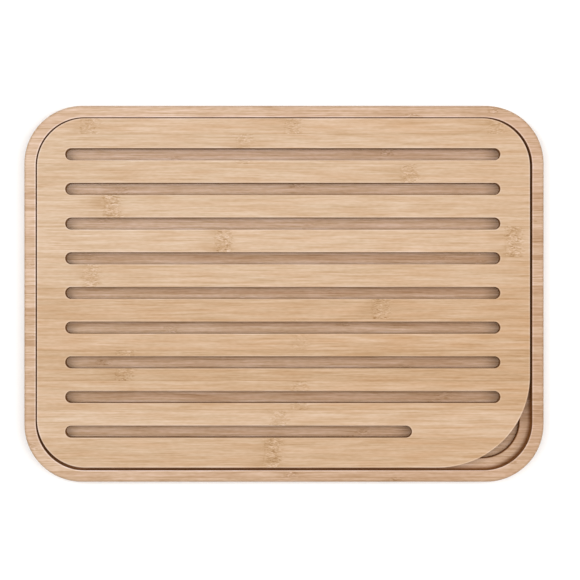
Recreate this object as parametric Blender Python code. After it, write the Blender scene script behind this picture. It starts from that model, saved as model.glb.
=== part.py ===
"""Bread board: a bamboo crumb tray, and the slotted cutting grid that lies in it and lifts out.

Metres, +Z up. +X runs along the board, and the origin is on the table under the tray's middle.
Loaves are cut on the grid, and the crumbs fall through its slots into the well of the tray.
"""

import math

import bmesh
import bpy

# Crumb tray, outside
BOARD_LENGTH = 0.380
BOARD_WIDTH = 0.275
BOARD_CORNER_RADIUS = 0.042
TOP_ROUNDING = 0.002
FOOT_ROUNDING = 0.001

# Crumb tray, pocket for the grid: a rim all round, a little fuller at its corners
RIM_WIDTH = 0.0085
CORNER_FULLNESS = 0.0019
POCKET_EASING = 0.0005

# Crumb tray, the ledge that carries the grid and the well inside it
LEDGE_WIDTH = 0.0084
LEDGE_EASING = 0.0004
WELL_DEPTH = 0.0047
WELL_FLOOR_THICKNESS = 0.005
WELL_FILLET = 0.001

# Cutting grid: how thick it is, how it fits the pocket, and where it lies within that play
GRID_THICKNESS = 0.010
GRID_PLAY = 0.0012
GRID_SEAT_GAP = 0.0003
GRID_EASING = 0.0006
GRID_LEFT_SHARE = 0.33
GRID_BACK_SHARE = 0.55

# Cutting grid, the corner that is cut back so that a finger can get under it
FINGER_CORNER_RADIUS = 0.067

# Slots: rows along the board, the front one shorter to leave a plain field beside it
SLOT_COUNT = 9
SLOT_WIDTH = 0.0087
SLOT_EASING = 0.0005
SIDE_MARGIN = 0.0264
LEFT_MARGIN = 0.0208
RIGHT_MARGIN = 0.0218
PLAIN_FIELD_LENGTH = 0.0864
CUT_OVERRUN = 0.002

# Facets of the round stretches
CORNER_SEGMENTS = 16
SLOT_END_SEGMENTS = 12
ROUNDING_SEGMENTS = 4
EASING_SEGMENTS = 2
SMOOTH_ANGLE = math.radians(30.0)

# Sizes that follow from the ones above
HALF_LENGTH = BOARD_LENGTH / 2
HALF_WIDTH = BOARD_WIDTH / 2
LEDGE_HEIGHT = WELL_FLOOR_THICKNESS + WELL_DEPTH
GRID_BOTTOM = LEDGE_HEIGHT + GRID_SEAT_GAP
BOARD_HEIGHT = GRID_BOTTOM + GRID_THICKNESS
POCKET_CORNER_RADIUS = BOARD_CORNER_RADIUS - RIM_WIDTH + CORNER_FULLNESS
GRID_CORNER_RADIUS = POCKET_CORNER_RADIUS
GRID_HALF_LENGTH = HALF_LENGTH - RIM_WIDTH - GRID_PLAY
GRID_HALF_WIDTH = HALF_WIDTH - RIM_WIDTH - GRID_PLAY
GRID_X = -GRID_LEFT_SHARE * GRID_PLAY
GRID_Y = GRID_BACK_SHARE * GRID_PLAY
SLOT_RADIUS = SLOT_WIDTH / 2
FIRST_ROW_Y = GRID_HALF_WIDTH - SIDE_MARGIN
ROW_PITCH = 2 * FIRST_ROW_Y / (SLOT_COUNT - 1)

# Oiled bamboo: colours as linear red, green and blue
TRAY_COLOUR = (0.56, 0.37, 0.23, 1.0)
GRID_COLOUR = (0.61, 0.42, 0.27, 1.0)
WOOD_ROUGHNESS = 0.5


def clear_scene():
    for item in list(bpy.data.objects):
        bpy.data.objects.remove(item, do_unlink=True)


def wood(name, colour):
    """Returns oiled bamboo in one colour."""
    material = bpy.data.materials.new(name)
    material.use_nodes = True
    shader = material.node_tree.nodes["Principled BSDF"]
    shader.inputs["Base Color"].default_value = colour
    shader.inputs["Roughness"].default_value = WOOD_ROUGHNESS
    shader.inputs["Metallic"].default_value = 0.0
    return material


def quarter_round(radius, segments):
    """Returns the steps of a quarter round as pairs: how far it goes on along the face that it leaves,
    and how far away from that face."""
    steps = []
    for step in range(segments + 1):
        angle = math.radians(90.0) * step / segments
        steps.append((radius * math.sin(angle), radius * (1 - math.cos(angle))))
    return steps


def corner_points(corner_x, corner_y, radius, sign_x, sign_y, start_angle):
    """Returns the points of one rounded corner, counter-clockwise from its start angle."""
    centre_x = corner_x - sign_x * radius
    centre_y = corner_y - sign_y * radius
    points = []
    for step in range(CORNER_SEGMENTS + 1):
        angle = start_angle + math.radians(90.0) * step / CORNER_SEGMENTS
        points.append((centre_x + radius * math.cos(angle), centre_y + radius * math.sin(angle)))
    return points


def rounded_rectangle(half_length, half_width, radii):
    """Returns the outline of a rectangle, with radii for its back right, back left, front left and
    front right corners."""
    back_right, back_left, front_left, front_right = radii
    outline = corner_points(half_length, half_width, back_right, 1, 1, 0.0)
    outline += corner_points(-half_length, half_width, back_left, -1, 1, math.radians(90.0))
    outline += corner_points(-half_length, -half_width, front_left, -1, -1, math.radians(180.0))
    outline += corner_points(half_length, -half_width, front_right, 1, -1, math.radians(270.0))
    return outline


def slot_outline(left, right, row_y, radius):
    """Returns the outline of one slot: two straight sides and a half-round end at each extreme."""
    outline = []
    for centre_x, start_angle in ((right, -90.0), (left, 90.0)):
        for step in range(SLOT_END_SEGMENTS + 1):
            angle = math.radians(start_angle + 180.0 * step / SLOT_END_SEGMENTS)
            outline.append((centre_x + radius * math.cos(angle), row_y + radius * math.sin(angle)))
    return outline


def first_ring(bm, outline, height):
    """Adds the closed ring of edges that a body is drawn up from."""
    ring = [bm.verts.new((x, y, height)) for x, y in outline]
    for i in range(len(ring)):
        bm.edges.new((ring[i - 1], ring[i]))
    return ring


def next_ring(bm, ring, outline, height):
    """Extrudes a ring, and moves each new vertex to its place on the next outline."""
    edges = [bm.edges.get((ring[i - 1], ring[i])) for i in range(len(ring))]
    made = set(bmesh.ops.extrude_edge_only(bm, edges=edges)["geom"])
    drawn = []
    for vert, (x, y) in zip(ring, outline):
        neighbours = [edge.other_vert(vert) for edge in vert.link_edges]
        new_vert = next(other for other in neighbours if other in made)
        new_vert.co = (x, y, height)
        drawn.append(new_vert)
    return drawn


def draw_body(bm, levels):
    """Makes one closed body from a run of outlines and heights, each with as many points as the next."""
    outline, height = levels[0]
    ring = first_ring(bm, outline, height)
    bm.faces.new(ring)
    for outline, height in levels[1:]:
        ring = next_ring(bm, ring, outline, height)
    bm.faces.new(ring)


def finish_mesh(bm, name, material=None):
    """Turns the faces outward and makes the shape an object."""
    bmesh.ops.recalc_face_normals(bm, faces=bm.faces)
    mesh = bpy.data.meshes.new(name)
    bm.to_mesh(mesh)
    bm.free()
    if material:
        mesh.materials.append(material)
    mesh.shade_smooth()
    mesh.set_sharp_from_angle(angle=SMOOTH_ANGLE)
    item = bpy.data.objects.new(name, mesh)
    bpy.context.scene.collection.objects.link(item)
    return item


def outside_section():
    """Returns the tray's section from its underside up to the rim: inset from the outside, corner
    radius and height."""
    section = []
    for along, away in quarter_round(FOOT_ROUNDING, EASING_SEGMENTS):
        section.append((FOOT_ROUNDING - along, away))
    for along, away in quarter_round(TOP_ROUNDING, ROUNDING_SEGMENTS):
        section.append((away, BOARD_HEIGHT - TOP_ROUNDING + along))
    return [(inset, BOARD_CORNER_RADIUS - inset, height) for inset, height in section]


def inside_section():
    """Returns the tray's section from the rim down over the ledge to the floor of the well."""
    section = []
    for along, away in quarter_round(POCKET_EASING, EASING_SEGMENTS):
        section.append((RIM_WIDTH - POCKET_EASING + along, BOARD_HEIGHT - away))
    section.append((RIM_WIDTH, LEDGE_HEIGHT))
    ledge_inner = RIM_WIDTH + LEDGE_WIDTH
    for along, away in quarter_round(LEDGE_EASING, EASING_SEGMENTS):
        section.append((ledge_inner - LEDGE_EASING + along, LEDGE_HEIGHT - away))
    for along, away in quarter_round(WELL_FILLET, EASING_SEGMENTS):
        section.append((ledge_inner + away, WELL_FLOOR_THICKNESS + WELL_FILLET - along))
    pocket_centre = RIM_WIDTH + POCKET_CORNER_RADIUS
    return [(inset, pocket_centre - inset, height) for inset, height in section]


def build_tray():
    """The tray is one panel of glued bamboo staves, milled in two steps: the pocket, then the well."""
    levels = []
    for inset, radius, height in outside_section() + inside_section():
        outline = rounded_rectangle(HALF_LENGTH - inset, HALF_WIDTH - inset, [radius] * 4)
        levels.append((outline, height))
    bm = bmesh.new()
    draw_body(bm, levels)
    return finish_mesh(bm, "crumb_tray", wood("tray bamboo", TRAY_COLOUR))


def grid_section():
    """Returns the grid's edge from its underside to its top: inset from the outside, and height."""
    section = []
    for along, away in quarter_round(GRID_EASING, EASING_SEGMENTS):
        section.append((GRID_EASING - along, away))
    for along, away in quarter_round(GRID_EASING, EASING_SEGMENTS):
        section.append((away, GRID_THICKNESS - GRID_EASING + along))
    return section


def build_grid_blank():
    """The grid before its slots are cut: a flat plate with three corners that follow the pocket and
    one that is cut back."""
    corners = [GRID_CORNER_RADIUS, GRID_CORNER_RADIUS, GRID_CORNER_RADIUS, FINGER_CORNER_RADIUS]
    levels = []
    for inset, height in grid_section():
        radii = [radius - inset for radius in corners]
        outline = rounded_rectangle(GRID_HALF_LENGTH - inset, GRID_HALF_WIDTH - inset, radii)
        levels.append((outline, height))
    bm = bmesh.new()
    draw_body(bm, levels)
    return finish_mesh(bm, "slotted_grid", wood("grid bamboo", GRID_COLOUR))


def slot_rows():
    """Returns each slot's row and the centres of its left and right ends, from the back to the front."""
    rows = []
    left = -GRID_HALF_LENGTH + LEFT_MARGIN + SLOT_RADIUS
    for row in range(SLOT_COUNT):
        is_front = row == SLOT_COUNT - 1
        margin = PLAIN_FIELD_LENGTH if is_front else RIGHT_MARGIN
        right = GRID_HALF_LENGTH - margin - SLOT_RADIUS
        rows.append((FIRST_ROW_Y - row * ROW_PITCH, left, right))
    return rows


def slot_section():
    """Returns the slot cutter's section, which flares by the easing at both faces of the grid: growth
    of its radius, and height."""
    section = [(SLOT_EASING, -CUT_OVERRUN)]
    for along, away in quarter_round(SLOT_EASING, EASING_SEGMENTS):
        section.append((SLOT_EASING - along, away))
    for along, away in quarter_round(SLOT_EASING, EASING_SEGMENTS):
        section.append((away, GRID_THICKNESS - SLOT_EASING + along))
    section.append((SLOT_EASING, GRID_THICKNESS + CUT_OVERRUN))
    return section


def build_slot_cutter():
    """One cutter with the body of every slot in it."""
    bm = bmesh.new()
    for row_y, left, right in slot_rows():
        levels = []
        for growth, height in slot_section():
            outline = slot_outline(left, right, row_y, SLOT_RADIUS + growth)
            levels.append((outline, height))
        draw_body(bm, levels)
    cutter = finish_mesh(bm, "slot_cutter")
    cutter.hide_render = True
    cutter.display_type = "WIRE"
    return cutter


def build_grid():
    """The grid lies on the ledge, with its origin at the foot of the line along which it lifts out."""
    grid = build_grid_blank()
    grid.location = (GRID_X, GRID_Y, GRID_BOTTOM)
    cutter = build_slot_cutter()
    cutter.parent = grid
    cut = grid.modifiers.new("slots", "BOOLEAN")
    cut.operation = "DIFFERENCE"
    cut.solver = "EXACT"
    cut.object = cutter
    return grid


clear_scene()
build_tray()
build_grid()
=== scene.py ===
"""Bread board: the looks of a bamboo crumb tray and of the slotted grid that lies in it.

Metres, +Z up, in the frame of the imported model. +X runs along the board, and so does the bamboo.
"""

import math
import random

import bmesh
import bpy
from mathutils import Matrix, Vector


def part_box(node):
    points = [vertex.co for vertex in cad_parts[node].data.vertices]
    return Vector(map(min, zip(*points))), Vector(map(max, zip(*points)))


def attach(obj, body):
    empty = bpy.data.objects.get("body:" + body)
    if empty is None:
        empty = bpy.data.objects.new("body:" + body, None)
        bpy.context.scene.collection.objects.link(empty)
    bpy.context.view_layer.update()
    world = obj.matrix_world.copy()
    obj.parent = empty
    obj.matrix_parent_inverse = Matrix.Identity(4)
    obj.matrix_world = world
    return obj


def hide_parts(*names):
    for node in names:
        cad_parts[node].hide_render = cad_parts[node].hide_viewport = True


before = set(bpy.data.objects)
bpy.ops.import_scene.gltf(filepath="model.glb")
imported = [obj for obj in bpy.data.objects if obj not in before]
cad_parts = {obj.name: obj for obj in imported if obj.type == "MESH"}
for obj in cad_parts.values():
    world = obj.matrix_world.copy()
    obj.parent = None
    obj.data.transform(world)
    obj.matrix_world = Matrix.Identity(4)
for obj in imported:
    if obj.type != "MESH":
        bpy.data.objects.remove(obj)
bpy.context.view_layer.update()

# Crumb tray
# One panel of narrow bamboo strips, glued side by side on edge, so the rim and the floor show them
# as fine bands. The pocket for the grid and the well for the crumbs are milled into its top, and
# every edge is eased by hand.
TRAY_CORNER_RADIUS = 0.042
TRAY_TOP_ROUNDING = 0.002
TRAY_FOOT_ROUNDING = 0.001
RIM_WIDTH = 0.0085
POCKET_CORNER_RADIUS = 0.0354
POCKET_EASING = 0.0005
LEDGE_WIDTH = 0.0084
LEDGE_EASING = 0.0004
WELL_DEPTH = 0.0047
WELL_FLOOR_THICKNESS = 0.005
WELL_FILLET = 0.001
CORNER_SEGMENTS = 24
ROUNDING_STEPS = 5
EASING_STEPS = 3
# Widths over which an edge's painted highlight and wear, and the painted shade at the foot of the pocket
# wall and at the well's edge, fade out on the level face beside it
HIGHLIGHT_AND_WEAR_WIDTH = 0.0006
WALL_FOOT_PAINTED_SHADE_WIDTH = 0.0026
WELL_EDGE_PAINTED_SHADE_WIDTH = 0.0005
CUT_TOLERANCE = 1e-7

# How far from upright and how near to level the normal of a rounded edge's face points
SLOPING_SHARES = (0.15, 0.985)

# What the strips are drawn by lot from; their tone rises by its slope, a metre, to the back, as painted
# light that is brighter at the back
TRAY_STRIP_WIDTH = 0.0048
TRAY_STRIP_SPREAD = 0.0018
TRAY_TONE = 0.008
TRAY_PAINTED_LIGHT_SLOPE = 0.20
TRAY_TONE_SPREAD = 0.022
TRAY_DARK_TONE = -0.05
TRAY_HONEY_SHARES = (0.25, 0.65)
TRAY_DARK_HONEY_SHARE = 0.75
TRAY_KNOT_PITCH = 0.30
TRAY_PITCH_SHARES = (0.85, 1.3)
TRAY_KNOT_STRENGTHS = (0.2, 0.7)
TRAY_SEED = 11276
# Rows that lie in a darker strip, and the knots that show most, by their places along and across
TRAY_DARK_ROWS = (
    0.0712, 0.0624, 0.0405, 0.0281, 0.0054, -0.0143, -0.0238,
    -0.0333, -0.0472, -0.0618, -0.0757, -0.0845, -0.0918,
)
TRAY_KNOTS = (
    (-0.0295, 0.1326), (0.0947, 0.1310), (0.1539, 0.1340), (0.0048, -0.1320), (0.0816, -0.1349),
    (0.0099, 0.0785), (0.0757, 0.1026), (-0.1340, -0.0487),
)
TRAY_STRAW = (0.572, 0.404, 0.282, 1.0)
TRAY_HONEY = (0.456, 0.280, 0.172, 1.0)
TRAY_KNOT_TAN = (0.405, 0.245, 0.135, 1.0)
TRAY_END_GRAIN = (0.40, 0.25, 0.14, 1.0)
# Painted shade: the dark brown that the inner walls, the ledge's edges and the well floor turn towards,
# by these shares
TRAY_PAINTED_SHADE = (0.155, 0.050, 0.006, 1.0)
WALL_PAINTED_SHADE_SHARE = 0.95
FLOOR_PAINTED_SHADE_SHARE = 0.065
# Painted shade: the rim's outer rounded edge is darkened where it turns away from the lamps
OUTER_EDGE_PAINTED_SHADE_SHARE = -0.10

tray_low, tray_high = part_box("crumb_tray")
ledge_height = tray_low.z + WELL_FLOOR_THICKNESS + WELL_DEPTH


def round_steps(radius, count):
    """Returns the moves round a quarter circle: along the face that it leaves, and away from it."""
    moves = []
    for step in range(count):
        start = math.radians(90.0) * step / count
        end = math.radians(90.0) * (step + 1) / count
        along = radius * (math.sin(end) - math.sin(start))
        away = radius * (math.cos(start) - math.cos(end))
        moves.append((along, away))
    return moves


def rounded_block(low, high, corner_radii):
    """Returns a bmesh block whose upright edges are rounded, each by the radius of its own corner."""
    bm = bmesh.new()
    bmesh.ops.create_cube(bm, size=1.0)
    bmesh.ops.scale(bm, vec=high - low, verts=bm.verts)
    bmesh.ops.translate(bm, vec=(low + high) / 2, verts=bm.verts)
    middle = (low + high) / 2
    for (side_x, side_y), radius in corner_radii.items():
        upright = [
            edge
            for edge in bm.edges
            if all((v.co.x - middle.x) * side_x > 0 for v in edge.verts)
            and all((v.co.y - middle.y) * side_y > 0 for v in edge.verts)
            and abs(edge.verts[0].co.z - edge.verts[1].co.z) > (high.z - low.z) / 2
        ]
        bmesh.ops.bevel(
            bm,
            geom=upright,
            affect="EDGES",
            offset=radius,
            offset_type="OFFSET",
            segments=CORNER_SEGMENTS,
            profile=0.5,
            material=-1,
        )
    return bm


def cap_facing(bm, way):
    """Returns the flat cap of a block that faces up, way 1, or down, way -1."""
    return max(bm.faces, key=lambda face: face.normal.z * way * face.calc_area())


def draw_on(bm, cap, inset, outward):
    """Draws the section on by one ring: the cap shrinks by the inset and moves out or in."""
    bmesh.ops.inset_region(bm, faces=[cap], thickness=inset, depth=outward, use_even_offset=True)


def reshape_corners(cap, old_radius, new_radius):
    """Gives the cap's corners another radius, with its straight sides where they were."""
    reach = Vector((max(v.co.x for v in cap.verts), max(v.co.y for v in cap.verts)))
    for vert in cap.verts:
        side = Vector((math.copysign(1, vert.co.x), math.copysign(1, vert.co.y)))
        old_centre = (reach - Vector((old_radius, old_radius))) * side
        new_centre = (reach - Vector((new_radius, new_radius))) * side
        vert.co.xy = new_centre + (vert.co.xy - old_centre) * new_radius / old_radius


def lay_strips(bm, strips):
    """Cuts the mesh at every glue joint, and notes on each face which strip it is part of."""
    for strip in strips[1:]:
        bmesh.ops.bisect_plane(
            bm,
            geom=bm.verts[:] + bm.edges[:] + bm.faces[:],
            dist=CUT_TOLERANCE,
            plane_co=(0.0, strip["back"], 0.0),
            plane_no=(0.0, 1.0, 0.0),
        )
    number_layer = bm.faces.layers.float.new("strip")
    layers = {name: bm.faces.layers.float.new(name) for name in strips[0]}
    bm.normal_update()
    for face in bm.faces:
        centre = face.calc_center_median()
        number = max((n for n, strip in enumerate(strips) if strip["back"] > centre.y), default=0)
        face[number_layer] = number
        for name, layer in layers.items():
            face[layer] = strips[number][name]


def note_share(bm, name, share_of):
    """Notes under that name, on each vertex, the strongest share of the faces that meet there."""
    layer = bm.verts.layers.float.new(name)
    for face in bm.faces:
        share = share_of(face, face.calc_center_median())
        for vert in face.verts:
            vert[layer] = max(vert[layer], share, key=abs)


def is_sloping(face):
    """Tells whether a face is part of a rounded edge, neither level nor upright."""
    return SLOPING_SHARES[0] < abs(face.normal.z) < SLOPING_SHARES[1]


def finish_piece(bm, name, material, body, node):
    """Makes the shape a piece that stands for its node, rides on its body and takes its finish."""
    for face in bm.faces:
        face.smooth = abs(face.normal.z) < SLOPING_SHARES[1]
    mesh = bpy.data.meshes.new(name)
    bm.to_mesh(mesh)
    bm.free()
    mesh.materials.append(material)
    piece = bpy.data.objects.new(name, mesh)
    bpy.context.scene.collection.objects.link(piece)
    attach(piece, body)
    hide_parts(node)


def add_node(tree, kind, inputs=None, **settings):
    """Adds a shader node with its settings. An input is given as a value or as a socket to link."""
    node = tree.nodes.new("ShaderNode" + kind)
    for name, setting in settings.items():
        setattr(node, name, setting)
    for key, value in (inputs or {}).items():
        if isinstance(value, bpy.types.NodeSocket):
            tree.links.new(value, node.inputs[key])
        else:
            node.inputs[key].default_value = value
    return node


def calc(tree, operation, first, second=0.0, third=0.0):
    """Returns the socket of a sum on two or three numbers."""
    return add_node(tree, "Math", {0: first, 1: second, 2: third}, operation=operation).outputs[0]


def fade(tree, value, start, end):
    """Returns 1 up to the start value, 0 from the end value, and a smooth fall between them."""
    inputs = {"Value": value, "From Min": start, "From Max": end, "To Min": 1.0, "To Max": 0.0}
    return add_node(tree, "MapRange", inputs, interpolation_type="SMOOTHSTEP").outputs["Result"]


def rise(tree, value, start, end):
    """Returns 0 up to the start value, 1 from the end value, and a smooth rise between them."""
    return calc(tree, "SUBTRACT", 1.0, fade(tree, value, start, end))


def flecks(tree, place, size, detail=0.0, distortion=0.0):
    """Returns noise about zero, from -0.5 to 0.5, whose flecks have the given size in metres."""
    counted = add_node(tree, "VectorMath", {0: place, 1: size}, operation="DIVIDE").outputs[0]
    inputs = {"Vector": counted, "Scale": 1.0, "Detail": detail, "Distortion": distortion}
    return calc(tree, "SUBTRACT", add_node(tree, "TexNoise", inputs).outputs[0], 0.5)


def drawn_flecks(tree, place, gauge, shares, detail=0.0):
    """Returns flecks drawn out along the strip, their length and width in shares of the gauge."""
    length, width = (calc(tree, "MULTIPLY", gauge, share) for share in shares)
    size = add_node(tree, "CombineXYZ", {"X": length, "Y": width, "Z": width}).outputs[0]
    return flecks(tree, place, size, detail=detail)


def add_up(tree, start, layers, weights):
    """Returns the start value plus each layer that has a weight, times its weight."""
    for name, weight in weights.items():
        start = calc(tree, "MULTIPLY_ADD", layers[name], weight, start)
    return start


def blend(tree, share, first, second):
    """Returns the first colour, turned towards the second by the share."""
    inputs = {0: share, 6: first, 7: second}
    return add_node(tree, "Mix", inputs, data_type="RGBA", clamp_factor=True).outputs[2]


def strip_note(tree, name):
    """Returns what the mesh notes under that name about the strip or the edge at that place."""
    return add_node(tree, "Attribute", attribute_name=name).outputs["Fac"]


def make_group(name, inputs, outputs):
    """Returns a new node group with named sockets, its input node and its output node."""
    tree = bpy.data.node_groups.new(name, "ShaderNodeTree")
    for socket_name, kind in inputs.items():
        tree.interface.new_socket(socket_name, in_out="INPUT", socket_type="NodeSocket" + kind)
    for socket_name, kind in outputs.items():
        tree.interface.new_socket(socket_name, in_out="OUTPUT", socket_type="NodeSocket" + kind)
    return tree, tree.nodes.new("NodeGroupInput"), tree.nodes.new("NodeGroupOutput")


# The knot's flecks by their size along, across and into the strip, shares of the knot's length, and
# the ranges over which its pale and dark fibres and its ridge come in
KNOT_RAGGED_FLECK = (0.0050, 0.0022, 0.0022)
KNOT_RAGGED_SHARE = 1.3
KNOT_CORE_SHARES = (0.25, 0.90)
KNOT_SHADE_OFFSET_SHARE = 0.55
KNOT_SHADE_REACH_SHARE = 1.9
KNOT_PATCH_FLECK = (0.016, 0.005, 0.005)
KNOT_PATCH_CONTRAST = 1.6
KNOT_PATCH_LEVEL = 0.38
KNOT_PALE_FLECK = (0.0044, 0.0012, 0.0015)
KNOT_PALE_RANGE = (0.03, 0.09)
KNOT_DARK_FLECK = (0.0046, 0.0010, 0.0014)
KNOT_DARK_RANGE = (0.04, 0.10)
KNOT_TWIST = 1.6
KNOT_RIDGE_OFFSET_SHARE = 0.62
KNOT_RIDGE_WIDTHS = (0.0002, 0.0009)
KNOT_RIDGE_DARKNESS = 0.15
KNOT_BOW_FLECK = (0.012, 0.012, 0.012)
KNOT_BOW = 0.0045


def make_knot_group():
    """Bamboo knot: a ragged band across the strip where pale fibres cross, dull on its left side."""
    inputs = {"Place": "Vector", "Length": "Float"}
    outputs = {"Knot": "Float", "Shade": "Float", "Pale": "Float", "Dark": "Float"}
    tree, given, made = make_group("bamboo knot", inputs, outputs)
    place = given.outputs["Place"]
    length = given.outputs["Length"]
    strength = strip_note(tree, "knot_strength")
    half_pitch = calc(tree, "MULTIPLY", strip_note(tree, "knot_pitch"), 0.5)
    along = add_node(tree, "SeparateXYZ", {0: place}).outputs["X"]
    from_knot = calc(tree, "SUBTRACT", along, strip_note(tree, "knot_x"))
    from_knot = calc(tree, "WRAP", from_knot, half_pitch, calc(tree, "MULTIPLY", half_pitch, -1.0))

    ragged = flecks(tree, place, KNOT_RAGGED_FLECK, detail=2.0)
    ragged_by = calc(tree, "MULTIPLY", length, KNOT_RAGGED_SHARE)
    from_middle = calc(tree, "ABSOLUTE", calc(tree, "MULTIPLY_ADD", ragged, ragged_by, from_knot))
    core_start, core_end = (calc(tree, "MULTIPLY", length, share) for share in KNOT_CORE_SHARES)
    core = calc(tree, "MULTIPLY", fade(tree, from_middle, core_start, core_end), strength)
    tree.links.new(core, made.inputs["Knot"])

    from_shade = calc(tree, "MULTIPLY_ADD", length, KNOT_SHADE_OFFSET_SHARE, from_knot)
    reach = calc(tree, "MULTIPLY", length, KNOT_SHADE_REACH_SHARE)
    shade = fade(tree, calc(tree, "ABSOLUTE", from_shade), 0.0, reach)
    patches = flecks(tree, place, KNOT_PATCH_FLECK)
    patches = calc(tree, "MULTIPLY_ADD", patches, KNOT_PATCH_CONTRAST, KNOT_PATCH_LEVEL)
    patches = calc(tree, "MULTIPLY", calc(tree, "MAXIMUM", patches, 0.0), strength)
    tree.links.new(calc(tree, "MULTIPLY", shade, patches), made.inputs["Shade"])

    pale = flecks(tree, place, KNOT_PALE_FLECK, detail=1.0, distortion=KNOT_TWIST)
    pale = calc(tree, "MULTIPLY", rise(tree, pale, *KNOT_PALE_RANGE), core)
    tree.links.new(pale, made.inputs["Pale"])
    dark = flecks(tree, place, KNOT_DARK_FLECK, detail=1.0, distortion=KNOT_TWIST)
    dark = calc(tree, "MULTIPLY", rise(tree, dark, *KNOT_DARK_RANGE), core)
    from_ridge = calc(tree, "MULTIPLY_ADD", length, KNOT_RIDGE_OFFSET_SHARE, from_knot)
    bow = calc(tree, "MULTIPLY", flecks(tree, place, KNOT_BOW_FLECK), KNOT_BOW)
    from_ridge = calc(tree, "ABSOLUTE", calc(tree, "ADD", from_ridge, bow))
    ridge = calc(tree, "MULTIPLY", fade(tree, from_ridge, *KNOT_RIDGE_WIDTHS), strength)
    tree.links.new(calc(tree, "MULTIPLY_ADD", ridge, KNOT_RIDGE_DARKNESS, dark), made.inputs["Dark"])
    return tree


# Each strip reads the pattern at its own depth, so that its fibres don't run on in the next one. The
# fibres drift sideways along the strip and swirl at its knots
STRIP_PATTERN_STEP = 0.37
DRIFT_FLECK = (0.055, 0.007, 0.007)
DRIFT = 0.0016
SWIRL_FLECK = (0.0045, 0.0045, 0.0045)
SWIRL = 0.0060
# Length and width of a fibre, a bundle of them and a dark vein, in shares of the fibre's gauge
FIBRE_SHARES = (32.0, 1.0)
BUNDLE_SHARES = (42.0, 2.3)
VEIN_SHARES = (22.0, 0.55)
VEIN_RANGE = (0.10, 0.26)
DASH_FLECK = (0.0042, 0.0009, 0.0009)
CLOUD_FLECK = (0.085, 0.0052, 0.0052)
HUE_FLECK = (0.034, 0.0030, 0.0030)
JOINT_WIDTHS = (0.00010, 0.00040)
# How much each layer adds to the tone, the roughness and the relief, or takes away below zero
STREAK_TONES = {"fibre": 0.46, "bundle": 0.14, "vein": -0.12, "dash": 0.20, "cloud": 0.08}
MARK_TONES = {"pale": 0.23, "dark": -0.25, "joint": -0.13}
OILED_ROUGHNESS = 0.52
ROUGHNESSES = {"fibre": -0.16, "vein": 0.06, "milled": 0.40}
RELIEFS = {"fibre": 0.7, "vein": -0.35, "pale": 0.3, "joint": -0.5}
KNOT_TAN_SHARE = 0.32
# How far a face points up where its painted highlight and wear starts, and along the board where end
# grain starts
HIGHLIGHT_AND_WEAR_FACING = (0.1, 0.4)
END_GRAIN_FACING = (0.70, 0.98)
# A darker tone is a browner one: green and blue fall faster than red, by these powers of the tone
GREEN_POWER = 1.35
BLUE_POWER = 2.1


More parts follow.
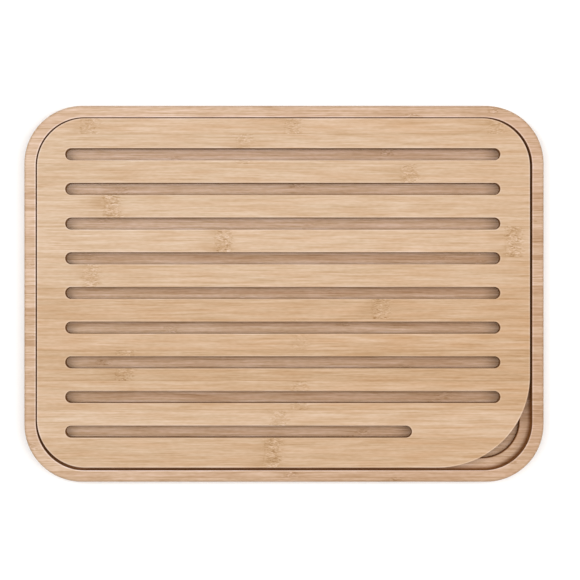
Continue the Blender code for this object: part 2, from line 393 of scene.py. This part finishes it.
def make_bamboo_group(knots):
    """Oiled bamboo: long fibres with darker veins, clouds of tone, knots, glue joints and end grain."""
    inputs = {
        "Straw": "Color",
        "Honey": "Color",
        "Knot tan": "Color",
        "End grain": "Color",
        "Honey rise": "Float",
        "Fibre": "Float",
        "Contrast": "Float",
        "Arris highlight and wear": "Float",
        "Painted shade": "Color",
        "Knot length": "Float",
    }
    outputs = {"Color": "Color", "Roughness": "Float", "Height": "Float"}
    tree, given, made = make_group("oiled bamboo", inputs, outputs)
    on_board = add_node(tree, "TexCoord").outputs["Object"]
    own_depth = calc(tree, "MULTIPLY", strip_note(tree, "strip"), STRIP_PATTERN_STEP)
    shift = add_node(tree, "CombineXYZ", {"Z": own_depth}).outputs[0]
    place = add_node(tree, "VectorMath", {0: on_board, 1: shift}, operation="ADD").outputs[0]
    knot_inputs = {"Place": place, "Length": given.outputs["Knot length"]}
    knot = add_node(tree, "Group", knot_inputs, node_tree=knots)

    drift = calc(tree, "MULTIPLY", flecks(tree, place, DRIFT_FLECK), DRIFT)
    swirl = calc(tree, "MULTIPLY", flecks(tree, place, SWIRL_FLECK), SWIRL)
    sideways = calc(tree, "MULTIPLY_ADD", swirl, knot.outputs["Knot"], drift)
    bend = add_node(tree, "CombineXYZ", {"Y": sideways, "Z": sideways}).outputs[0]
    flow = add_node(tree, "VectorMath", {0: place, 1: bend}, operation="ADD").outputs[0]

    board_axes = add_node(tree, "SeparateXYZ", {0: on_board}).outputs
    to_front = calc(tree, "SUBTRACT", board_axes["Y"], strip_note(tree, "front"))
    to_back = calc(tree, "SUBTRACT", strip_note(tree, "back"), board_axes["Y"])
    gauge = given.outputs["Fibre"]
    layers = {
        "fibre": drawn_flecks(tree, flow, gauge, FIBRE_SHARES, detail=1.0),
        "bundle": drawn_flecks(tree, flow, gauge, BUNDLE_SHARES, detail=1.0),
        "vein": rise(tree, drawn_flecks(tree, flow, gauge, VEIN_SHARES), *VEIN_RANGE),
        "dash": flecks(tree, flow, DASH_FLECK),
        "cloud": flecks(tree, flow, CLOUD_FLECK, detail=1.0),
        "pale": knot.outputs["Pale"],
        "dark": knot.outputs["Dark"],
        "joint": fade(tree, calc(tree, "MINIMUM", to_front, to_back), *JOINT_WIDTHS),
        "milled": strip_note(tree, "milled"),
    }

    normal = add_node(tree, "NewGeometry").outputs["Normal"]
    facing = add_node(tree, "SeparateXYZ", {0: normal}).outputs
    facing_up = calc(tree, "ABSOLUTE", facing["Z"])
    facing_end = calc(tree, "ABSOLUTE", facing["X"])

    streaks = add_up(tree, 0.0, layers, STREAK_TONES)
    tone = calc(tree, "ADD", strip_note(tree, "tone"), 1.0)
    tone = calc(tree, "MULTIPLY_ADD", streaks, given.outputs["Contrast"], tone)
    tone = add_up(tree, tone, layers, MARK_TONES)
    # Painted highlight and wear: rounded edges turn paler, the more so where they face up
    highlight_and_wear = calc(tree, "MULTIPLY", strip_note(tree, "highlight_and_wear"), given.outputs["Arris highlight and wear"])
    highlight_and_wear = calc(tree, "MULTIPLY", highlight_and_wear, rise(tree, facing_up, *HIGHLIGHT_AND_WEAR_FACING))
    tone = calc(tree, "ADD", tone, highlight_and_wear)

    hue = flecks(tree, flow, HUE_FLECK, detail=1.0)
    honey = calc(tree, "ADD", hue, strip_note(tree, "honey"))
    honey = calc(tree, "MULTIPLY_ADD", board_axes["X"], given.outputs["Honey rise"], honey)
    colour = blend(tree, honey, given.outputs["Straw"], given.outputs["Honey"])
    tan = calc(tree, "MULTIPLY_ADD", knot.outputs["Knot"], KNOT_TAN_SHARE, knot.outputs["Shade"])
    colour = blend(tree, tan, colour, given.outputs["Knot tan"])
    side_grain = fade(tree, facing_end, *END_GRAIN_FACING)
    colour = blend(tree, side_grain, given.outputs["End grain"], colour)
    # Painted shade: walls, gaps and shaded floors turn towards a dark brown
    colour = blend(tree, layers["milled"], colour, given.outputs["Painted shade"])
    green = calc(tree, "POWER", tone, GREEN_POWER)
    blue = calc(tree, "POWER", tone, BLUE_POWER)
    browner = add_node(tree, "CombineXYZ", {"X": tone, "Y": green, "Z": blue}).outputs[0]
    toned = add_node(tree, "VectorMath", {0: colour, 1: browner}, operation="MULTIPLY").outputs[0]
    tree.links.new(toned, made.inputs["Color"])
    tree.links.new(add_up(tree, OILED_ROUGHNESS, layers, ROUGHNESSES), made.inputs["Roughness"])
    tree.links.new(add_up(tree, 0.0, layers, RELIEFS), made.inputs["Height"])
    return tree


OILED_SPECULAR = 0.2
RELIEF_STRENGTH = 0.5
RELIEF_DEPTH = 0.00012


def make_bamboo(name, group, inputs):
    """Returns one bamboo finish: the shared group with its own values, and a satin oiled surface."""
    material = bpy.data.materials.new(name)
    material.use_nodes = True
    tree = material.node_tree
    shader = tree.nodes["Principled BSDF"]
    bamboo = add_node(tree, "Group", inputs, node_tree=group)
    height = bamboo.outputs["Height"]
    relief = {"Strength": RELIEF_STRENGTH, "Distance": RELIEF_DEPTH, "Height": height}
    bump = add_node(tree, "Bump", relief)
    tree.links.new(bamboo.outputs["Color"], shader.inputs["Base Color"])
    tree.links.new(bamboo.outputs["Roughness"], shader.inputs["Roughness"])
    tree.links.new(bump.outputs[0], shader.inputs["Normal"])
    shader.inputs["Specular IOR Level"].default_value = OILED_SPECULAR
    return material


def tray_highlight_and_wear_share(face, centre):
    """Returns an edge's painted highlight and wear: paler round the pocket, and a little darker outside,
    which is painted shade.
    """
    if not is_sloping(face) or centre.z < ledge_height:
        return 0.0
    return 1.0 if face.normal.xy.dot(centre.xy) < 0 else OUTER_EDGE_PAINTED_SHADE_SHARE


def tray_milled_share(face, centre):
    """Returns how much painted shade a face gets: inner walls and ledge edge most, the floor a little."""
    is_upright = abs(face.normal.z) < SLOPING_SHARES[0]
    is_on_floor = centre.z < tray_low.z + WELL_FLOOR_THICKNESS + WELL_FILLET
    if is_upright or is_sloping(face) and centre.z < ledge_height and not is_on_floor:
        return WALL_PAINTED_SHADE_SHARE if face.normal.xy.dot(centre.xy) < 0 else 0.0
    return FLOOR_PAINTED_SHADE_SHARE if face.normal.z > 0 and is_on_floor else 0.0


corners = {(x, y): TRAY_CORNER_RADIUS for x in (-1, 1) for y in (-1, 1)}
block_low = tray_low + Vector((0, 0, TRAY_FOOT_ROUNDING))
block_high = tray_high - Vector((0, 0, TRAY_TOP_ROUNDING))
bm = rounded_block(block_low, block_high, corners)

# The foot's rounding
foot = cap_facing(bm, -1)
for along, away in round_steps(TRAY_FOOT_ROUNDING, EASING_STEPS):
    draw_on(bm, foot, away, along)

# The rim, from its outer rounding to the mouth of the pocket
cap = cap_facing(bm, 1)
for along, away in round_steps(TRAY_TOP_ROUNDING, ROUNDING_STEPS):
    draw_on(bm, cap, away, along)
draw_on(bm, cap, HIGHLIGHT_AND_WEAR_WIDTH, 0.0)
easing_start = RIM_WIDTH - POCKET_EASING
draw_on(bm, cap, easing_start - 2 * HIGHLIGHT_AND_WEAR_WIDTH - TRAY_TOP_ROUNDING, 0.0)
rim_radius = TRAY_CORNER_RADIUS - easing_start + HIGHLIGHT_AND_WEAR_WIDTH
reshape_corners(cap, rim_radius, POCKET_CORNER_RADIUS + POCKET_EASING + HIGHLIGHT_AND_WEAR_WIDTH)
draw_on(bm, cap, HIGHLIGHT_AND_WEAR_WIDTH, 0.0)

# The pocket, its ledge and the well
for along, away in round_steps(POCKET_EASING, EASING_STEPS):
    draw_on(bm, cap, along, -away)
pocket_depth = tray_high.z - ledge_height
draw_on(bm, cap, 0.0, POCKET_EASING - pocket_depth)
# Rings on the ledge over which the painted shade of the pocket wall and of the well's edge fades
draw_on(bm, cap, WALL_FOOT_PAINTED_SHADE_WIDTH, 0.0)
draw_on(bm, cap, LEDGE_WIDTH - WALL_FOOT_PAINTED_SHADE_WIDTH - WELL_EDGE_PAINTED_SHADE_WIDTH - LEDGE_EASING, 0.0)
draw_on(bm, cap, WELL_EDGE_PAINTED_SHADE_WIDTH, 0.0)
for along, away in round_steps(LEDGE_EASING, EASING_STEPS):
    draw_on(bm, cap, along, -away)
draw_on(bm, cap, 0.0, LEDGE_EASING + WELL_FILLET - WELL_DEPTH)
for along, away in round_steps(WELL_FILLET, EASING_STEPS):
    draw_on(bm, cap, away, -along)

dice = random.Random(TRAY_SEED)
tray_strips = []
back = tray_high.y
while back > tray_low.y:
    front = back - TRAY_STRIP_WIDTH - dice.uniform(-TRAY_STRIP_SPREAD, TRAY_STRIP_SPREAD)
    strip = {
        "back": back,
        "front": front,
        "tone": dice.gauss(TRAY_TONE, TRAY_TONE_SPREAD) + back * TRAY_PAINTED_LIGHT_SLOPE,
        "honey": dice.uniform(*TRAY_HONEY_SHARES),
        "knot_x": dice.uniform(-TRAY_KNOT_PITCH, TRAY_KNOT_PITCH) / 2,
        "knot_pitch": TRAY_KNOT_PITCH * dice.uniform(*TRAY_PITCH_SHARES),
        "knot_strength": dice.uniform(*TRAY_KNOT_STRENGTHS),
    }
    if any(front < row < back for row in TRAY_DARK_ROWS):
        strip.update(tone=TRAY_DARK_TONE, honey=TRAY_DARK_HONEY_SHARE)
    for knot_x, knot_y in TRAY_KNOTS:
        if front < knot_y < back:
            strip.update(knot_x=knot_x, knot_pitch=2 * TRAY_KNOT_PITCH, knot_strength=1.0)
    tray_strips.append(strip)
    back = front
note_share(bm, "highlight_and_wear", tray_highlight_and_wear_share)
note_share(bm, "milled", tray_milled_share)
lay_strips(bm, tray_strips)

knot_group = make_knot_group()
bamboo_group = make_bamboo_group(knot_group)
tray_look = {
    "Straw": TRAY_STRAW,
    "Honey": TRAY_HONEY,
    "Knot tan": TRAY_KNOT_TAN,
    "End grain": TRAY_END_GRAIN,
    "Honey rise": 1.4,
    "Fibre": 0.0011,
    "Contrast": 1.1,
    "Arris highlight and wear": 0.26,
    "Painted shade": TRAY_PAINTED_SHADE,
    "Knot length": 0.008,
}
tray_bamboo = make_bamboo("tray bamboo", bamboo_group, tray_look)
finish_piece(bm, "bamboo_crumb_tray", tray_bamboo, "tray", "crumb_tray")

# Slotted grid
# One plate of wide bamboo strips, laid flat so that they show their knots. Nine slots are routed
# through it for the crumbs, the front one shorter, and its front right corner is cut back so that a
# finger can lift it. Its edges are sanded over on both faces, and it lies loose in the tray.
GRID_CORNER_RADIUS = 0.0354
FINGER_CORNER_RADIUS = 0.067
GRID_EASING = 0.0006
SLOT_COUNT = 9
SLOT_WIDTH = 0.0087
SLOT_EASING = 0.0005
SLOT_END_SEGMENTS = 32
SIDE_MARGIN = 0.0264
LEFT_MARGIN = 0.0208
RIGHT_MARGIN = 0.0218
PLAIN_FIELD_LENGTH = 0.0864
CUT_OVERRUN = 0.002
MERGE_DISTANCE = 1e-6
GRID_STRAW = (0.568, 0.413, 0.284, 1.0)
GRID_HONEY = (0.474, 0.278, 0.142, 1.0)
GRID_KNOT_TAN = (0.440, 0.275, 0.148, 1.0)
GRID_END_GRAIN = (0.41, 0.26, 0.15, 1.0)
# Painted shade: the dark brown that the walls of the slots and the plate's edge turn towards, by these
# shares
GRID_PAINTED_SHADE = (0.28, 0.108, 0.020, 1.0)
SLOT_PAINTED_SHADE_SHARE = 0.78
EDGE_PAINTED_SHADE_SHARE = 0.40
# Painted highlight and wear on the rounded edges, by these shares
SLOT_HIGHLIGHT_AND_WEAR_SHARE = 0.5
EDGE_HIGHLIGHT_AND_WEAR_SHARE = 0.85

# From the back: each strip's width and what it notes, which is its tone and share of honey, the place
# of its knot, the way from there to the next, and how much they show
STRIP_NOTES = ("tone", "honey", "knot_x", "knot_pitch", "knot_strength")
GRID_STRIPS = (
    (0.0116, 0.02, 0.45, 0.007, 0.149, 0.8),
    (0.0219, 0.00, 0.28, -0.029, 0.400, 0.6),
    (0.0227, 0.00, 0.30, 0.092, 0.400, 0.9),
    (0.0230, 0.00, 0.26, -0.126, 0.400, 1.1),
    (0.0223, 0.02, 0.28, -0.044, 0.212, 1.1),
    (0.0227, -0.01, 0.34, -0.141, 0.400, 0.8),
    (0.0226, -0.04, 0.54, 0.071, 0.400, 1.0),
    (0.0227, 0.00, 0.60, 0.012, 0.400, 0.4),
    (0.0226, -0.09, 0.52, -0.116, 0.400, 0.8),
    (0.0212, -0.02, 0.52, 0.012, 0.400, 0.6),
    (0.0205, 0.02, 0.36, -0.003, 0.400, 0.7),
    (0.0240, -0.03, 0.48, -0.008, 0.400, 1.1),
)

grid_low, grid_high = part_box("slotted_grid")


def add_slot_cutter(bm, left, right, row_y):
    """Adds the cutter of one slot: a round-ended bar that flares over the easing at both faces."""
    cutter = bmesh.new()
    bmesh.ops.create_cone(
        cutter,
        cap_ends=True,
        segments=SLOT_END_SEGMENTS,
        radius1=SLOT_WIDTH / 2 + SLOT_EASING,
        radius2=SLOT_WIDTH / 2 + SLOT_EASING,
        depth=CUT_OVERRUN,
    )
    half_step = Matrix.Rotation(math.radians(180.0) / SLOT_END_SEGMENTS, 3, "Z")
    bmesh.ops.rotate(cutter, matrix=half_step, verts=cutter.verts)
    right_half = [vert for vert in cutter.verts if vert.co.x > 0]
    bmesh.ops.translate(cutter, vec=(right - left, 0, 0), verts=right_half)
    top = grid_high.z + CUT_OVERRUN / 2
    bmesh.ops.translate(cutter, vec=(left, row_y, top), verts=cutter.verts)
    cap = cap_facing(cutter, -1)
    for along, away in round_steps(SLOT_EASING, EASING_STEPS):
        draw_on(cutter, cap, along, away)
    middle_height = (grid_low.z + grid_high.z) / 2
    draw_on(cutter, cap, 0.0, grid_high.z - SLOT_EASING - middle_height)
    bmesh.ops.delete(cutter, geom=[cap], context="FACES_ONLY")
    bmesh.ops.mirror(
        cutter,
        geom=cutter.verts[:] + cutter.edges[:] + cutter.faces[:],
        matrix=Matrix.Translation((0, 0, -middle_height)),
        axis="Z",
    )
    bmesh.ops.remove_doubles(cutter, verts=cutter.verts, dist=MERGE_DISTANCE)
    bmesh.ops.recalc_face_normals(cutter, faces=cutter.faces)
    scratch = bpy.data.meshes.new("slot cutter")
    cutter.to_mesh(scratch)
    cutter.free()
    bm.from_mesh(scratch)
    bpy.data.meshes.remove(scratch)


def cut_slots(blank, cutters):
    """Returns the blank less the cutters, as one new bmesh."""
    scratch = []
    for bm in (blank, cutters):
        mesh = bpy.data.meshes.new("scratch")
        bm.to_mesh(mesh)
        bm.free()
        item = bpy.data.objects.new("scratch", mesh)
        bpy.context.scene.collection.objects.link(item)
        scratch.append(item)
    cut = scratch[0].modifiers.new("slots", "BOOLEAN")
    cut.operation = "DIFFERENCE"
    cut.solver = "EXACT"
    cut.object = scratch[1]
    bm = bmesh.new()
    bm.from_object(scratch[0], bpy.context.evaluated_depsgraph_get())
    for item in scratch:
        mesh = item.data
        bpy.data.objects.remove(item, do_unlink=True)
        bpy.data.meshes.remove(mesh)
    bmesh.ops.remove_doubles(bm, verts=bm.verts, dist=MERGE_DISTANCE)
    return bm


def is_in_slot(centre):
    """Tells whether the place of a face is inside the plate's margins, where only the slots are."""
    to_side = min(centre.x - grid_low.x, grid_high.x - centre.x)
    to_side = min(centre.y - grid_low.y, grid_high.y - centre.y, to_side)
    return to_side > LEFT_MARGIN - SLOT_EASING


def grid_highlight_and_wear_share(face, centre):
    """Returns how much painted highlight and wear makes an edge paler: the plate's own edge more than the
    slots.
    """
    if not is_sloping(face):
        return 0.0
    return SLOT_HIGHLIGHT_AND_WEAR_SHARE if is_in_slot(centre) else EDGE_HIGHLIGHT_AND_WEAR_SHARE


def grid_milled_share(face, centre):
    """Returns how much painted shade a face gets: the walls of the slots most, the plate's edge less."""
    if abs(face.normal.z) > SLOPING_SHARES[0]:
        return 0.0
    return SLOT_PAINTED_SHADE_SHARE if is_in_slot(centre) else EDGE_PAINTED_SHADE_SHARE


corners = {
    (1, 1): GRID_CORNER_RADIUS,
    (-1, 1): GRID_CORNER_RADIUS,
    (-1, -1): GRID_CORNER_RADIUS,
    (1, -1): FINGER_CORNER_RADIUS,
}
easing_rise = Vector((0, 0, GRID_EASING))
bm = rounded_block(grid_low + easing_rise, grid_high - easing_rise, corners)
for way in (-1, 1):
    cap = cap_facing(bm, way)
    for along, away in round_steps(GRID_EASING, EASING_STEPS):
        draw_on(bm, cap, away, along)

cutters = bmesh.new()
centre = (grid_low + grid_high) / 2
first_row = grid_high.y - SIDE_MARGIN
row_pitch = 2 * (first_row - centre.y) / (SLOT_COUNT - 1)
for row in range(SLOT_COUNT):
    margin = PLAIN_FIELD_LENGTH if row == SLOT_COUNT - 1 else RIGHT_MARGIN
    left = grid_low.x + LEFT_MARGIN + SLOT_WIDTH / 2
    right = grid_high.x - margin - SLOT_WIDTH / 2
    add_slot_cutter(cutters, left, right, first_row - row * row_pitch)
bm = cut_slots(bm, cutters)
bm.normal_update()
for way in (-1, 1):
    flats = [face for face in bm.faces if face.normal.z * way > SLOPING_SHARES[1]]
    bmesh.ops.inset_region(bm, faces=flats, thickness=HIGHLIGHT_AND_WEAR_WIDTH, use_even_offset=True, use_boundary=True)
note_share(bm, "highlight_and_wear", grid_highlight_and_wear_share)
note_share(bm, "milled", grid_milled_share)

grid_strips = []
back = grid_high.y
for width, *notes in GRID_STRIPS:
    grid_strips.append({"back": back, "front": back - width, **dict(zip(STRIP_NOTES, notes))})
    back -= width
lay_strips(bm, grid_strips)
grid_look = {
    "Straw": GRID_STRAW,
    "Honey": GRID_HONEY,
    "Knot tan": GRID_KNOT_TAN,
    "End grain": GRID_END_GRAIN,
    "Honey rise": 0.7,
    "Fibre": 0.0012,
    "Contrast": 0.75,
    "Arris highlight and wear": 0.26,
    "Painted shade": GRID_PAINTED_SHADE,
    "Knot length": 0.010,
}
grid_bamboo = make_bamboo("grid bamboo", bamboo_group, grid_look)
finish_piece(bm, "bamboo_slotted_grid", grid_bamboo, "grid", "slotted_grid")

# Table
# A matt white sheet, far wider than the picture, that takes the board's shadow. It is part of the
# stage and not of the board.
TABLE_RADIUS = 6.0
TABLE_SEGMENTS = 64
TABLE_WHITE = (0.97, 0.97, 0.975, 1.0)
TABLE_ROUGHNESS = 0.8

bm = bmesh.new()
bmesh.ops.create_circle(bm, cap_ends=True, segments=TABLE_SEGMENTS, radius=TABLE_RADIUS)
table_mesh = bpy.data.meshes.new("table")
bm.to_mesh(table_mesh)
bm.free()
matt_white = bpy.data.materials.new("matt white")
matt_white.use_nodes = True
surface = matt_white.node_tree.nodes["Principled BSDF"]
surface.inputs["Base Color"].default_value = TABLE_WHITE
surface.inputs["Roughness"].default_value = TABLE_ROUGHNESS
table_mesh.materials.append(matt_white)
table = bpy.data.objects.new("table", table_mesh)
bpy.context.scene.collection.objects.link(table)

# Studio light
# A pale room, a wide softbox high over the board, and a small one to its left and a little behind.
# Each softbox has a name, a place, a width, a depth and a power, and faces the board.
ROOM_COLOUR = (1.0, 0.985, 0.965, 1.0)
ROOM_STRENGTH = 0.41
SOFTBOXES = (
    ("wide softbox", (0.35, 0.0, 1.8), 2.1, 0.55, 27.5),
    ("left softbox", (-0.75, 0.30, 1.7), 0.6, 0.50, 8.6),
)

room = bpy.data.worlds.new("pale room")
room.use_nodes = True
room.node_tree.nodes["Background"].inputs["Color"].default_value = ROOM_COLOUR
room.node_tree.nodes["Background"].inputs["Strength"].default_value = ROOM_STRENGTH
bpy.context.scene.world = room
for name, place, width, depth, power in SOFTBOXES:
    box_light = bpy.data.lights.new(name, "AREA")
    box_light.shape = "RECTANGLE"
    box_light.size = width
    box_light.size_y = depth
    box_light.energy = power
    softbox = bpy.data.objects.new(name, box_light)
    softbox.location = place
    softbox.rotation_euler = (-math.atan2(place[1], place[2]), math.atan2(place[0], place[2]), 0.0)
    bpy.context.scene.collection.objects.link(softbox)
bpy.context.scene.view_settings.view_transform = "Standard"

# Camera
# Straight above the board, and as little off its middle as in the photograph.
CAMERA_PLACE = (0.0044, 0.0028, 1.36)
CAMERA_LENS = 113.8

camera_data = bpy.data.cameras.new("camera")
camera_data.lens = CAMERA_LENS
camera = bpy.data.objects.new("camera", camera_data)
camera.location = CAMERA_PLACE
bpy.context.scene.collection.objects.link(camera)
bpy.context.scene.camera = camera
